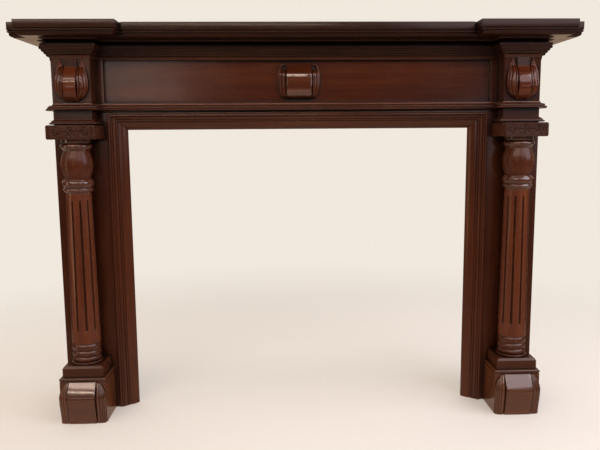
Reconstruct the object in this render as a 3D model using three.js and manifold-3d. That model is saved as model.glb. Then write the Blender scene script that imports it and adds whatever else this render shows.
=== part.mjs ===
// A mahogany fireplace mantelpiece: a breakfront shelf on two turned, fluted columns, round a wide opening.
// Millimetres, +Z up, +X to the viewer's right, -Y towards the room.
// The origin is on the floor, under the middle.
// Depths are given as forward, the distance from the wall plane into the room.
import * as THREE from 'three';
import { mergeVertices } from 'three/addons/utils/BufferGeometryUtils.js';
import Module from 'manifold-3d';

const wasm = await Module();
wasm.setup();

// Driving sizes of the whole
const HEIGHT = 1220;
const HALF_WIDTH = 855;
const DEPTH = 280;
const GAP = 0.3;

// Opening and the architrave round it
const OPENING_HALF = 546;
const OPENING_HEIGHT = 907;
const ARCHITRAVE_WIDTH = 54;
const ARCHITRAVE_BACK = 90;

// Boards of the carcase
const BOARD_THICK = 24;
const BOARD_FACE = 133;
const BOARD_HALF = 765;
const FIELD_HALF = 606;
const FIELD_SUNK = 12;

// Columns and what stands in line with them
const COLUMN_X = 684;
const COLUMN_FORWARD = 185;
const BLOCK_HALF = 56;
const BLOCK_FACE = 196;
const CAPITAL_HALF = 74.5;
const CAPITAL_FACE = 243;
const CAP_HALF = 62.5;
const PLINTH_HALF = 71;
const PLINTH_FACE = 250;

// Heights of the tiers, from the floor up
const PLINTH_TOP = 133;
const LEDGE_TOP = 142.5;
const CAP_EDGE = 171;
const CAP_TOP = 178;
const CAPITAL_BOTTOM = 879;
const CAPITAL_TOP = 921.5;
const NECK_BOTTOM = 923.8;
const NECK_TOP = 939;
const FRIEZE_BASE_BOTTOM = 966.3;
const FRIEZE_BASE_TOP = 986.7;
const BED_BOTTOM = 1119.3;
const SHELF_BOTTOM = 1176;

// Shelf plan: the end blocks stand forward of the middle, and the ears reach past them
const SHELF_EAR_FACE = 228;
const SHELF_BLOCK_OUT = 818;
const SHELF_BLOCK_IN = 530;
const SHELF_FACE_TALL = 23.5;

const MAHOGANY = new THREE.MeshStandardMaterial({ color: 0x3d1c12, roughness: 0.32, metalness: 0 });

const toY = (forward) => DEPTH / 2 - forward;
const lerp = (a, b, t) => a + (b - a) * t;

// Solids from rings

// Joins closed rings of equal length into one closed body.
// The two end rings are capped by their flat outlines.
function ringSolid(rings, firstFlat, lastFlat) {
  const count = rings[0].length;
  const positions = rings.flat().flatMap((p) => [p.x, p.y, p.z]);
  const index = [];
  for (let r = 0; r < rings.length - 1; r++) {
    for (let i = 0; i < count; i++) {
      const j = (i + 1) % count;
      const a = r * count + i;
      const b = r * count + j;
      index.push(a, b, b + count, a, b + count, a + count);
    }
  }
  const last = (rings.length - 1) * count;
  const flat = (points) => points.map(([u, v]) => new THREE.Vector2(u, v));
  const turn = Math.sign(THREE.ShapeUtils.area(flat(firstFlat)));
  for (const [a, b, c] of THREE.ShapeUtils.triangulateShape(flat(firstFlat), [])) {
    index.push(...(turn > 0 ? [a, c, b] : [a, b, c]));
  }
  for (const [a, b, c] of THREE.ShapeUtils.triangulateShape(flat(lastFlat), [])) {
    index.push(...(turn > 0 ? [last + a, last + b, last + c] : [last + a, last + c, last + b]));
  }
  const geometry = new THREE.BufferGeometry();
  geometry.setAttribute('position', new THREE.Float32BufferAttribute(positions, 3));
  geometry.setIndex(index);
  return facingOut(geometry);
}

// Turns every face over if the body's volume comes out negative
function facingOut(geometry) {
  const p = geometry.getAttribute('position');
  const index = geometry.getIndex().array;
  const [a, b, c] = [new THREE.Vector3(), new THREE.Vector3(), new THREE.Vector3()];
  let volume = 0;
  for (let i = 0; i < index.length; i += 3) {
    a.fromBufferAttribute(p, index[i]);
    b.fromBufferAttribute(p, index[i + 1]);
    c.fromBufferAttribute(p, index[i + 2]);
    volume += a.dot(b.cross(c));
  }
  if (volume < 0) {
    for (let i = 0; i < index.length; i += 3) [index[i], index[i + 1]] = [index[i + 1], index[i]];
  }
  return geometry;
}

function toManifold(geometry) {
  const bare = geometry.clone();
  bare.deleteAttribute('normal');
  bare.deleteAttribute('uv');
  const merged = mergeVertices(bare, 1e-4);
  const vertProperties = new Float32Array(merged.getAttribute('position').array);
  const triVerts = new Uint32Array(merged.getIndex().array);
  return new wasm.Manifold(new wasm.Mesh({ numProp: 3, vertProperties, triVerts }));
}

function fromManifold(solid) {
  const { vertProperties, triVerts, numProp } = solid.getMesh();
  const positions = [];
  for (let i = 0; i < vertProperties.length; i += numProp) positions.push(...vertProperties.slice(i, i + 3));
  const geometry = new THREE.BufferGeometry();
  geometry.setAttribute('position', new THREE.Float32BufferAttribute(positions, 3));
  geometry.setIndex(Array.from(triVerts));
  return geometry;
}

// Points between two profile points, bowed sideways by a rounded amount: positive swells, negative hollows
function bowed([u0, v0], [u1, v1], bow, steps) {
  const length = Math.hypot(u1 - u0, v1 - v0);
  const side = [(v0 - v1) / length, (u1 - u0) / length];
  return Array.from({ length: steps + 1 }, (_, i) => {
    const t = i / steps;
    const out = bow * Math.sin(Math.PI * t);
    return [lerp(u0, u1, t) + side[0] * out, lerp(v0, v1, t) + side[1] * out];
  });
}

function box(x0, x1, forward0, forward1, z0, z1) {
  const geometry = new THREE.BoxGeometry(x1 - x0, forward1 - forward0, z1 - z0);
  return geometry.translate((x0 + x1) / 2, toY((forward0 + forward1) / 2), (z0 + z1) / 2);
}

// Plan paths: corners given as [x, forward], running from the left end to the right end, all edges square

// Moves a path outwards by a distance, with mitred corners; its two ends stay on their own line
function offsetPath(path, distance) {
  const normals = path.slice(1).map(([x, f], i) => {
    const [dx, df] = [x - path[i][0], f - path[i][1]];
    return dx === 0 ? [-Math.sign(df), 0] : [0, Math.sign(dx)];
  });
  return path.map(([x, f], i) => {
    const before = normals[i - 1] ?? [0, 0];
    const after = normals[i] ?? [0, 0];
    return [x + distance * (before[0] + after[0]), f + distance * (before[1] + after[1])];
  });
}

// A moulding of one section, [offset from the path, height], mitred along a plan path
function mouldingRun(path, section) {
  const columns = section.map(([offset]) => offsetPath(path, offset));
  const rings = path.map((_, corner) =>
    section.map(([, z], i) => {
      const [x, forward] = columns[i][corner];
      return new THREE.Vector3(x, toY(forward), z);
    }),
  );
  return ringSolid(rings, section, section);
}

// A full board or block whose outline steps in and out with height.
// The path's ends are joined straight across.
function mouldedBoard(path, edge) {
  const outlines = edge.map(([offset]) => offsetPath(path, offset));
  const rings = outlines.map((outline, i) => {
    const height = edge[i][1];
    return outline.map(([x, f]) => new THREE.Vector3(x, toY(f), height));
  });
  return ringSolid(rings, outlines[0], outlines.at(-1));
}

const mirrored = (path) => [...path, ...path.map(([x, f]) => [-x, f]).reverse()];

// The plan that the frieze mouldings follow: back to the wall, along the board, round each block
const FRIEZE_PATH = mirrored([
  [-BOARD_HALF, 0],
  [-BOARD_HALF, BOARD_FACE],
  [-COLUMN_X - BLOCK_HALF, BOARD_FACE],
  [-COLUMN_X - BLOCK_HALF, BLOCK_FACE],
  [-COLUMN_X + BLOCK_HALF, BLOCK_FACE],
  [-COLUMN_X + BLOCK_HALF, BOARD_FACE],
]);

// A plan that stands out from the board's face, round something centred on a column line
const standingPath = (centre, half, face) => [
  [centre - half, BOARD_FACE + GAP],
  [centre - half, face],
  [centre + half, face],
  [centre + half, BOARD_FACE + GAP],
];

// Shelf

function mantelShelf() {
  const path = mirrored([
    [-HALF_WIDTH, 0],
    [-HALF_WIDTH, SHELF_EAR_FACE],
    [-SHELF_BLOCK_OUT, SHELF_EAR_FACE],
    [-SHELF_BLOCK_OUT, DEPTH],
    [-SHELF_BLOCK_IN, DEPTH],
    [-SHELF_BLOCK_IN, SHELF_EAR_FACE],
  ]);
  const faceBottom = HEIGHT - SHELF_FACE_TALL;
  const edge = [
    [-1, HEIGHT],
    [0, HEIGHT - 1],
    [0, faceBottom],
    [-2.4, faceBottom - 1],
    ...bowed([-2.4, faceBottom - 1.6], [-3.4, faceBottom - 7.6], 2.6, 4),
    [-5, faceBottom - 8.6],
    ...bowed([-4.6, faceBottom - 9.6], [-12, SHELF_BOTTOM + 1.4], 2.6, 4),
    [-13.5, SHELF_BOTTOM + 0.8],
    [-13.5, SHELF_BOTTOM],
  ];
  return mouldedBoard(path, edge);
}

// Mouldings

// A row of small reeds, stepping from one profile point to another
function reeds([u0, v0], [u1, v1], count, bow, steps) {
  const at = (i) => [lerp(u0, u1, i / count), lerp(v0, v1, i / count)];
  return Array.from({ length: count }, (_, i) => bowed(at(i), at(i + 1), bow, steps).slice(0, -1)).flat();
}

function bedMoulding() {
  const top = SHELF_BOTTOM - GAP;
  const section = [
    [GAP, top],
    [27, top],
    ...bowed([26, top - 1.5], [10, top - 13], -3.2, 4),
    [10, top - 14.5],
    [24.5, top - 15],
    [24.5, top - 18.6],
    ...reeds([25, top - 18.8], [4, top - 46], 4, 2.7, 3),
    [4, top - 46],
    ...bowed([2.6, top - 47], [1.5, BED_BOTTOM + 1], -0.5, 2),
    [1.5, BED_BOTTOM],
    [GAP, BED_BOTTOM],
  ];
  return mouldingRun(FRIEZE_PATH, section);
}

function friezeBaseMoulding() {
  const low = FRIEZE_BASE_BOTTOM;
  const section = [
    [GAP, FRIEZE_BASE_TOP],
    [1.8, FRIEZE_BASE_TOP],
    ...bowed([1.8, FRIEZE_BASE_TOP - 1], [8.4, low + 13.6], -1.6, 3),
    ...bowed([9.4, low + 13], [12.6, low + 7], 2.2, 3),
    [13.2, low + 6],
    ...bowed([15.2, low + 5.8], [15.6, low + 0.6], 2.6, 3),
    [14, low],
    [GAP, low],
  ];
  return mouldingRun(FRIEZE_PATH, section);
}

function neckMoulding(side) {
  const section = [
    [GAP, NECK_TOP],
    [1.8, NECK_TOP],
    ...bowed([1.8, NECK_TOP - 1], [10.5, NECK_BOTTOM + 5.6], 1.4, 3),
    [11.5, NECK_BOTTOM + 5],
    ...bowed([12.4, NECK_BOTTOM + 4.8], [12.4, NECK_BOTTOM + 0.6], 2.1, 3),
    [11, NECK_BOTTOM],
    [GAP, NECK_BOTTOM],
  ];
  return mouldingRun(standingPath(side * COLUMN_X, BLOCK_HALF, BLOCK_FACE), section);
}

// The architrave's section, as [distance out from the opening, forward]
const ARCHITRAVE_SECTION = [
  [0, ARCHITRAVE_BACK],
  [0, 99.6],
  ...bowed([0.4, 100.4], [24.6, 118.2], 2.4, 3),
  [25.4, 116.6],
  ...bowed([26, 119.6], [30.6, 123], 1.7, 2),
  [31.3, 121.9],
  ...bowed([32, 124.6], [40, 130], 1.5, 2),
  [40.8, 128.9],
  ...bowed([41.4, 131.8], [46, 134.6], 1.7, 2),
  [46.7, 133.6],
  ...bowed([47.3, 135.4], [53, 136.8], 1, 2),
  [ARCHITRAVE_WIDTH, 135.2],
  [ARCHITRAVE_WIDTH, ARCHITRAVE_BACK],
];

function architraveLeg(side) {
  const ringAt = (height) =>
    ARCHITRAVE_SECTION.map(([out, f]) => new THREE.Vector3(side * (OPENING_HALF + out), toY(f), height(out)));
  const foot = ringAt(() => 0);
  const mitre = ringAt((out) => OPENING_HEIGHT + out - GAP);
  return ringSolid([foot, mitre], ARCHITRAVE_SECTION, ARCHITRAVE_SECTION);
}

function architraveTop() {
  const ringAt = (side) =>
    ARCHITRAVE_SECTION.map(
      ([out, f]) => new THREE.Vector3(side * (OPENING_HALF + out - GAP), toY(f), OPENING_HEIGHT + out),
    );
  return ringSolid([ringAt(-1), ringAt(1)], ARCHITRAVE_SECTION, ARCHITRAVE_SECTION);
}

// Carcase boards

const BOARD_FOOT_OF_FRIEZE = OPENING_HEIGHT + ARCHITRAVE_WIDTH + GAP;
const CARCASE_TOP = SHELF_BOTTOM - GAP;

function friezeBoard() {
  const back = BOARD_FACE - BOARD_THICK;
  const board = box(-BOARD_HALF, BOARD_HALF, back, BOARD_FACE, BOARD_FOOT_OF_FRIEZE, CARCASE_TOP);
  const fieldBottom = FRIEZE_BASE_TOP + 4;
  const fieldTop = BED_BOTTOM + 8;
  const floor = BOARD_FACE - FIELD_SUNK;
  const cutter = box(-FIELD_HALF, FIELD_HALF, floor, BOARD_FACE + FIELD_SUNK, fieldBottom, fieldTop);
  return fromManifold(toManifold(board).subtract(toManifold(cutter)));
}

function legBoard(side) {
  const inner = side * (OPENING_HALF + ARCHITRAVE_WIDTH + GAP);
  const outer = side * BOARD_HALF;
  const [x0, x1] = [Math.min(inner, outer), Math.max(inner, outer)];
  return box(x0, x1, BOARD_FACE - BOARD_THICK, BOARD_FACE, 0, OPENING_HEIGHT + ARCHITRAVE_WIDTH);
}

function sideReturn(side) {
  const [near, far] = [side * (BOARD_HALF - BOARD_THICK), side * BOARD_HALF];
  return box(Math.min(near, far), Math.max(near, far), 0, BOARD_FACE - BOARD_THICK - GAP, 0, CARCASE_TOP);
}

function friezeBlock(side) {
  const x = side * COLUMN_X;
  return box(x - BLOCK_HALF, x + BLOCK_HALF, BOARD_FACE + GAP, BLOCK_FACE, CAPITAL_TOP + GAP, CARCASE_TOP);
}

// Carved scrolls

// A scroll is a broad rounded band with two reeds at each side, which curve in at its top and foot.
// The reeds' heights, from the band's edge (0) out to the outline (1), are a share of the band's swell.
const REEDS_ACROSS = [
  [0.0, 1.0],
  [0.04, 0.8],
  [0.14, 0.86],
  [0.28, 0.92],
  [0.42, 0.78],
  [0.48, 0.58],
  [0.58, 0.66],
  [0.72, 0.6],
  [0.84, 0.4],
  [1.0, 0.06],
];

function carvedScroll({ centre, face, bottom, top, bandHalf, outline, swell, levels }) {
  const lip = 1.6;
  const crown = 1.05;
  const widestBand = 0.9;
  const rings = Array.from({ length: levels + 1 }, (_, level) => {
    const t = level / levels;
    const z = lerp(bottom, top, t);
    const half = outline(t);
    const band = Math.min(bandHalf, half * widestBand);
    const rise = swell(t);
    const right = REEDS_ACROSS.map(([v, share]) => [band + (half - band) * v, lip + rise * share]);
    const left = right.map(([x, out]) => [-x, out]).reverse();
    const front = [...left, [0, lip + rise * crown], ...right];
    return [[-half, GAP], ...front, [half, GAP]].map(
      ([x, out]) => new THREE.Vector3(centre + x, toY(face + out), z),
    );
  });
  const flat = (ring) => ring.map((p) => [p.x, p.y]);
  return ringSolid(rings, flat(rings[0]), flat(rings.at(-1)));
}

// A curve through [position, value] pairs, eased between them
function eased(pairs) {
  return (t) => {
    const next = pairs.findIndex(([at]) => at >= t);
    if (next <= 0) return pairs[Math.max(next, 0)][1];
    const [[t0, v0], [t1, v1]] = [pairs[next - 1], pairs[next]];
    const s = (t - t0) / (t1 - t0);
    return lerp(v0, v1, (1 - Math.cos(Math.PI * s)) / 2);
  };
}

const eggOutline = (widest, foot, shoulder) => (t) => {
  const crest = 0.5;
  const reach = t < crest ? (crest - t) / crest : (t - crest) / (1 - crest);
  const end = t < crest ? foot : shoulder;
  return lerp(end, widest, Math.sqrt(Math.max(0, 1 - reach * reach)));
};

const FRIEZE_SCROLL_BOTTOM = 992;
const FRIEZE_SCROLL_TOP = 1110;

function friezeScroll(side) {
  const centre = side * COLUMN_X;
  const bandHalf = 18;
  const egg = carvedScroll({
    centre,
    face: BLOCK_FACE,
    bottom: FRIEZE_SCROLL_BOTTOM,
    top: FRIEZE_SCROLL_TOP,
    bandHalf,
    outline: eggOutline(50, 20, 23),
    swell: eased([[0, 4], [0.13, 21], [0.36, 30], [0.55, 27.5], [0.75, 17], [0.92, 4], [1, 4]]),
    levels: 10,
  });
  const tabThick = 5.5;
  const tabLap = 8;
  const tab = box(
    centre - bandHalf,
    centre + bandHalf,
    BLOCK_FACE + GAP,
    BLOCK_FACE + tabThick,
    FRIEZE_SCROLL_TOP - tabLap,
    BED_BOTTOM - 0.5,
  );
  return fromManifold(toManifold(egg).add(toManifold(tab)));
}

function centreScroll() {
  return carvedScroll({
    centre: 0,
    face: BOARD_FACE - FIELD_SUNK,
    bottom: 1001,
    top: 1110,
    bandHalf: 38,
    outline: eggOutline(66, 47, 45),
    swell: eased([[0, 4], [0.12, 20], [0.45, 26.5], [0.64, 25.5], [0.88, 9], [1, 3]]),
    levels: 10,
  });
}

function plinthScroll(side) {
  return carvedScroll({
    centre: side * COLUMN_X,
    face: PLINTH_FACE,
    bottom: 0,
    top: PLINTH_TOP - 2.5,
    bandHalf: 42,
    outline: eased([[0, 66], [0.5, 69.5], [0.85, 69], [1, 64]]),
    swell: eased([[0, 10], [0.38, 22], [0.64, 27], [0.8, 19], [1, 2]]),
    levels: 9,
  });
}

// Plinths and capitals

function plinthBlock(side) {
  const path = standingPath(side * COLUMN_X, PLINTH_HALF, PLINTH_FACE);
  const groove = 2;
  return mouldedBoard(path, [
    [0, 0],
    [0, PLINTH_TOP - 1.5],
    [-groove, PLINTH_TOP - 0.8],
    [-groove, PLINTH_TOP + 1.2],
    [0.8, PLINTH_TOP + 2],
    [0.8, LEDGE_TOP - 2.6],
    [-1.6, LEDGE_TOP],
  ]);
}

function plinthCap(side) {
  const path = standingPath(side * COLUMN_X, CAP_HALF, PLINTH_FACE - (PLINTH_HALF - CAP_HALF));
  return mouldedBoard(path, [[0, LEDGE_TOP + GAP], [0, CAP_EDGE], [-5, CAP_TOP]]);
}

// A shallow cut along a line drawn on the capital's face, as [x, z] points
function carvedLine(points, { width, depth }) {
  const above = 0.5;
  const rings = points.map(([x, z], i) => {
    const [x0, z0] = points[Math.max(i - 1, 0)];
    const [x1, z1] = points[Math.min(i + 1, points.length - 1)];
    const length = Math.hypot(x1 - x0, z1 - z0);
    const across = [(z0 - z1) / length, (x1 - x0) / length];
    const corner = (side, forward) =>
      new THREE.Vector3(x + across[0] * side, toY(forward), z + across[1] * side);
    return [
      corner(-width / 2 - above, CAPITAL_FACE + above),
      corner(width / 2 + above, CAPITAL_FACE + above),
      corner(0, CAPITAL_FACE - depth),
    ];
  });
  const flat = [[0, 0], [1, 0], [0, 1]];
  return toManifold(ringSolid(rings, flat, flat));
}

function roundedBlock(centre) {
  const corner = 5;
  const round = 13;
  const middle = (CAPITAL_BOTTOM + CAPITAL_TOP) / 2;
  const halfTall = (CAPITAL_TOP - CAPITAL_BOTTOM) / 2;
  const front = new THREE.Shape();
  front.moveTo(-CAPITAL_HALF + corner, -halfTall);
  front.lineTo(CAPITAL_HALF - corner, -halfTall);
  front.quadraticCurveTo(CAPITAL_HALF, -halfTall, CAPITAL_HALF, -halfTall + corner);
  front.lineTo(CAPITAL_HALF, halfTall - corner);
  front.quadraticCurveTo(CAPITAL_HALF, halfTall, CAPITAL_HALF - corner, halfTall);
  front.lineTo(-CAPITAL_HALF + corner, halfTall);
  front.quadraticCurveTo(-CAPITAL_HALF, halfTall, -CAPITAL_HALF, halfTall - corner);
  front.lineTo(-CAPITAL_HALF, -halfTall + corner);
  front.quadraticCurveTo(-CAPITAL_HALF, -halfTall, -CAPITAL_HALF + corner, -halfTall);
  const deep = CAPITAL_FACE - BOARD_FACE - GAP;
  const elevation = new THREE.ExtrudeGeometry(front, { depth: deep, bevelEnabled: false, curveSegments: 3 });
  elevation.rotateX(Math.PI / 2).translate(centre, toY(BOARD_FACE + GAP), middle);
  const plan = new THREE.Shape();
  plan.moveTo(-CAPITAL_HALF, -deep);
  plan.lineTo(CAPITAL_HALF, -deep);
  plan.lineTo(CAPITAL_HALF, -round);
  plan.quadraticCurveTo(CAPITAL_HALF, 0, CAPITAL_HALF - round, 0);
  plan.lineTo(-CAPITAL_HALF + round, 0);
  plan.quadraticCurveTo(-CAPITAL_HALF, 0, -CAPITAL_HALF, -round);
  const tall = 4 * halfTall;
  const upright = new THREE.ExtrudeGeometry(plan, { depth: tall, bevelEnabled: false, curveSegments: 4 });
  upright.rotateX(Math.PI).translate(centre, toY(CAPITAL_FACE), middle + tall / 2);
  return toManifold(elevation).intersect(toManifold(upright));
}

function capital(side) {
  const centre = side * COLUMN_X;
  const middle = (CAPITAL_BOTTOM + CAPITAL_TOP) / 2;
  const fineCut = { width: 3.4, depth: 1.6 };
  const broadCut = { width: 4.4, depth: 1.8 };
  const ringCut = { width: 2.6, depth: 1.4 };
  const volute = (sense) => {
    const turns = 1.8;
    const steps = 19;
    const out = 44;
    const [outerRadius, innerRadius] = [14.5, 3.2];
    return Array.from({ length: steps + 1 }, (_, i) => {
      const t = i / steps;
      const angle = Math.PI / 2 + 2 * Math.PI * turns * t;
      const radius = lerp(outerRadius, innerRadius, t ** 0.8);
      return [centre + sense * (out + radius * Math.cos(angle)), middle - 1 + radius * Math.sin(angle)];
    });
  };
  const stem = (sense) => {
    const start = [centre + sense * 7, middle - 3];
    const end = [centre + sense * 25, middle + 1];
    return bowed(start, end, sense * 3, 4);
  };
  const ring = () => {
    const steps = 8;
    const closedShare = 0.93;
    const radius = 4.6;
    const up = 9;
    return Array.from({ length: steps + 1 }, (_, i) => {
      const angle = (i / steps) * closedShare * 2 * Math.PI;
      return [centre + radius * Math.sin(angle), middle + up + radius * Math.cos(angle)];
    });
  };
  const stalk = [[centre, middle + 1], [centre, middle - 11]];
  let block = roundedBlock(centre);
  for (const sense of [-1, 1]) {
    block = block.subtract(carvedLine(volute(sense), fineCut));
    block = block.subtract(carvedLine(stem(sense), broadCut));
  }
  block = block.subtract(carvedLine(ring(), ringCut));
  block = block.subtract(carvedLine(stalk, fineCut));
  return fromManifold(block);
}

// Columns

const COLUMN_SIDES = 20;
const SHAFT_BOTTOM = 244;
const SHAFT_TOP = 714;
const SHAFT_FOOT_RADIUS = 44.2;
const SHAFT_HEAD_RADIUS = 38.2;
const FLUTES = 10;
const FLUTE_RADIUS = 5.6;
const FLUTE_BOTTOM = 281;
const FLUTE_TOP = 697;
const FLUTE_TURN = { [-1]: 20, [1]: 12 };

function column(side) {
  const profile = [
    [0, CAP_TOP + GAP],
    [46, CAP_TOP + GAP],
    [48.6, 182],
    [46, 185],
    [41.2, 185.8],
    ...bowed([41.6, 186.6], [41.4, 200.4], -3, 2),
    ...bowed([41.6, 202.6], [41.4, 219.6], -3.2, 2),
    ...bowed([41.6, 221.8], [41.4, 241.2], -3.3, 2),
    [41.6, 242.4],
    [SHAFT_FOOT_RADIUS, SHAFT_BOTTOM],
    [SHAFT_HEAD_RADIUS, SHAFT_TOP],
    [40, 719],
    ...bowed([43.4, 721], [43.4, 731], -2.2, 2),
    [42, 733],
    ...bowed([44.4, 735], [42, 758], -4.6, 3),
    [39.2, 760.5],
    ...bowed([39.4, 763], [38.6, 844], -8.6, 5),
    ...bowed([41.5, 848], [42.5, 868], -6, 3),
    [43.6, 870],
    [43.6, CAPITAL_BOTTOM - GAP],
    [0, CAPITAL_BOTTOM - GAP],
  ];
  const turned = new THREE.LatheGeometry(profile.map(([r, z]) => new THREE.Vector2(r, z)), COLUMN_SIDES);
  turned.rotateX(Math.PI / 2);
  let solid = toManifold(facingOut(mergeVertices(withoutExtras(turned), 1e-4)));
  for (let i = 0; i < FLUTES; i++) {
    const turn = THREE.MathUtils.degToRad(FLUTE_TURN[side] + (i * 360) / FLUTES);
    solid = solid.subtract(toManifold(fluteCutter(turn)));
  }
  return fromManifold(solid).translate(side * COLUMN_X, toY(COLUMN_FORWARD), 0);
}

function withoutExtras(geometry) {
  geometry.deleteAttribute('normal');
  geometry.deleteAttribute('uv');
  return geometry;
}

// One flute: a long rod with rounded ends that leans with the shaft's taper, sunk to just over half its width
function fluteCutter(turn) {
  const slope = (SHAFT_FOOT_RADIUS - SHAFT_HEAD_RADIUS) / (SHAFT_TOP - SHAFT_BOTTOM);
  const length = FLUTE_TOP - FLUTE_BOTTOM - 2 * FLUTE_RADIUS;
  const shareOutside = 0.45;
  const rod = new THREE.CapsuleGeometry(FLUTE_RADIUS, length, 2, 6);
  const middle = (FLUTE_TOP + FLUTE_BOTTOM) / 2;
  const radius = SHAFT_FOOT_RADIUS - slope * (middle - SHAFT_BOTTOM) + FLUTE_RADIUS * shareOutside;
  rod.rotateX(Math.PI / 2).rotateY(-Math.atan(slope)).translate(radius, 0, middle);
  return rod.rotateZ(turn - Math.PI / 2);
}

// Assembly

const mantelpiece = new THREE.Group();

function place(name, geometry) {
  const mesh = new THREE.Mesh(geometry, MAHOGANY);
  mesh.name = name;
  mantelpiece.add(mesh);
}

place('mantel_shelf', mantelShelf());
place('bed_moulding', bedMoulding());
place('frieze_board', friezeBoard());
place('frieze_scroll_centre', centreScroll());
place('frieze_base_moulding', friezeBaseMoulding());
place('architrave_top', architraveTop());

for (const [word, side] of [['left', -1], ['right', 1]]) {
  place(`frieze_block_${word}`, friezeBlock(side));
  place(`frieze_scroll_${word}`, friezeScroll(side));
  place(`neck_moulding_${word}`, neckMoulding(side));
  place(`capital_${word}`, capital(side));
  place(`column_${word}`, column(side));
  place(`plinth_cap_${word}`, plinthCap(side));
  place(`plinth_block_${word}`, plinthBlock(side));
  place(`plinth_scroll_${word}`, plinthScroll(side));
  place(`leg_board_${word}`, legBoard(side));
  place(`side_return_${word}`, sideReturn(side));
  place(`architrave_${word}`, architraveLeg(side));
}

export default mantelpiece;
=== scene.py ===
import math

import bmesh
import bpy
import numpy as np
from mathutils import Matrix, Vector


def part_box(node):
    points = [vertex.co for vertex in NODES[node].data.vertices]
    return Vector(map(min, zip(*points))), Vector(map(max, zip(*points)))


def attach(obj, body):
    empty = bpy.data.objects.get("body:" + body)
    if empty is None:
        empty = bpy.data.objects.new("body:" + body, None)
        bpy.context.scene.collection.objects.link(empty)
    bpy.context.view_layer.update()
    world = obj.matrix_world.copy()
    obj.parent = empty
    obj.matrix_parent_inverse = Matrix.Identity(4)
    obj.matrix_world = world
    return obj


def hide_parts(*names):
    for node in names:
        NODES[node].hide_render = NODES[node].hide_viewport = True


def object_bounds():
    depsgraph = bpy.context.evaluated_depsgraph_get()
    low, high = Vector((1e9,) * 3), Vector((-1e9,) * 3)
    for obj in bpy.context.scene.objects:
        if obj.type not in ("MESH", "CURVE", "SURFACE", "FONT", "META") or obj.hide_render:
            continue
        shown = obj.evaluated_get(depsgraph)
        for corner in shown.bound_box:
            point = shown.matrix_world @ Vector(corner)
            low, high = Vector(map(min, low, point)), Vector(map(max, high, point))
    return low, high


# A mahogany fireplace mantelpiece. The frame gives each piece's place,
# and this script gives its fine shape and finish.
# Shapes are worked out in millimetres, with forward as the distance from the wall plane into the room.

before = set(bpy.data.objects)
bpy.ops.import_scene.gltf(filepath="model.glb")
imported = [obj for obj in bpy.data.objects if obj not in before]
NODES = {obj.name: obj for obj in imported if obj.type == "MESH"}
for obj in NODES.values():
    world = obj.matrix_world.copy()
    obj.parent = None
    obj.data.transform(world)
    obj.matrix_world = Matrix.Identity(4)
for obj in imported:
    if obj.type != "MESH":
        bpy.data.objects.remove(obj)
CAD_LOW, CAD_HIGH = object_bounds()
MM = 0.001
WALL_Y = CAD_HIGH.y / MM

# Plan and levels that the frame doesn't give directly
SHELF_EAR_FACE = 228
SHELF_BLOCK_OUT = 818
SHELF_BLOCK_IN = 530
SHELF_FACE_TALL = 23.5
NOTCH = 7
BLOCK_HALF = 56

# The number of a column's flutes, and their turn about its axis in degrees
FLUTES = 10
FLUTE_TURN = {"left": 20, "right": 12}

# The gap that neighbouring pieces keep
GAP = 0.3


def low(node):
    """A node's lowest corner in millimetres, as x, forward, z."""
    a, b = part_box(node)
    return Vector((a.x / MM, WALL_Y - b.y / MM, a.z / MM))


def high(node):
    """A node's highest corner in millimetres, as x, forward, z."""
    a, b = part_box(node)
    return Vector((b.x / MM, WALL_Y - a.y / MM, b.z / MM))


HALF_WIDTH = high("mantel_shelf").x
HEIGHT = high("mantel_shelf").z
DEPTH = high("mantel_shelf").y
SHELF_BOTTOM = low("mantel_shelf").z
BOARD_HALF = high("frieze_board").x
BOARD_FACE = high("frieze_board").y
BLOCK_FACE = high("frieze_block_left").y
COLUMN_X = (low("column_right").x + high("column_right").x) / 2
COLUMN_FORWARD = (low("column_right").y + high("column_right").y) / 2


# Materials

MAHOGANY_DARK = (0.042, 0.0115, 0.0056, 1)
MAHOGANY_MID = (0.100, 0.0265, 0.0105, 1)
MAHOGANY_LIGHT = (0.200, 0.060, 0.0200, 1)

# How near another surface must be for painted shade on the wood, or an edge to look worn, in metres
CORNER_REACH = 0.11
RECESS_REACH = 0.014
FLUTE_REACH = 0.009
FINE_REACH = 0.006
WEAR_REACH = 0.004

# The tab's finish is a darker copy of the wood: painted shade under the bed moulding.

class Graph:
    """A short way to add and join shader nodes."""

    def __init__(self, material):
        self.tree = material.node_tree
        self.tree.nodes.clear()

    def add(self, kind, inputs=None, **settings):
        node = self.tree.nodes.new(kind)
        for key, value in settings.items():
            setattr(node, key, value)
        for key, value in (inputs or {}).items():
            if isinstance(value, bpy.types.NodeSocket):
                self.tree.links.new(value, node.inputs[key])
            else:
                node.inputs[key].default_value = value
        return node

    def ramp(self, factor, *stops):
        """A colour ramp, whose first two stops are the outer ones."""
        node = self.add("ShaderNodeValToRGB", {"Fac": factor})
        elements = node.color_ramp.elements
        for i, (at, colour) in enumerate(stops):
            element = elements[i] if i < 2 else elements.new(at)
            element.position = at
            element.color = colour
        return node.outputs["Color"]

    def mix(self, factor, a, b, blend="MIX"):
        """Two colours mixed. The node's colours are its inputs 6 and 7, and its output 2."""
        node = self.add("ShaderNodeMix", data_type="RGBA", blend_type=blend)
        for socket, value in ((node.inputs[0], factor), (node.inputs[6], a), (node.inputs[7], b)):
            if isinstance(value, bpy.types.NodeSocket):
                self.tree.links.new(value, socket)
            else:
                socket.default_value = value
        return node.outputs[2]


def grey(value):
    return (value, value, value, 1)


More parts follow.
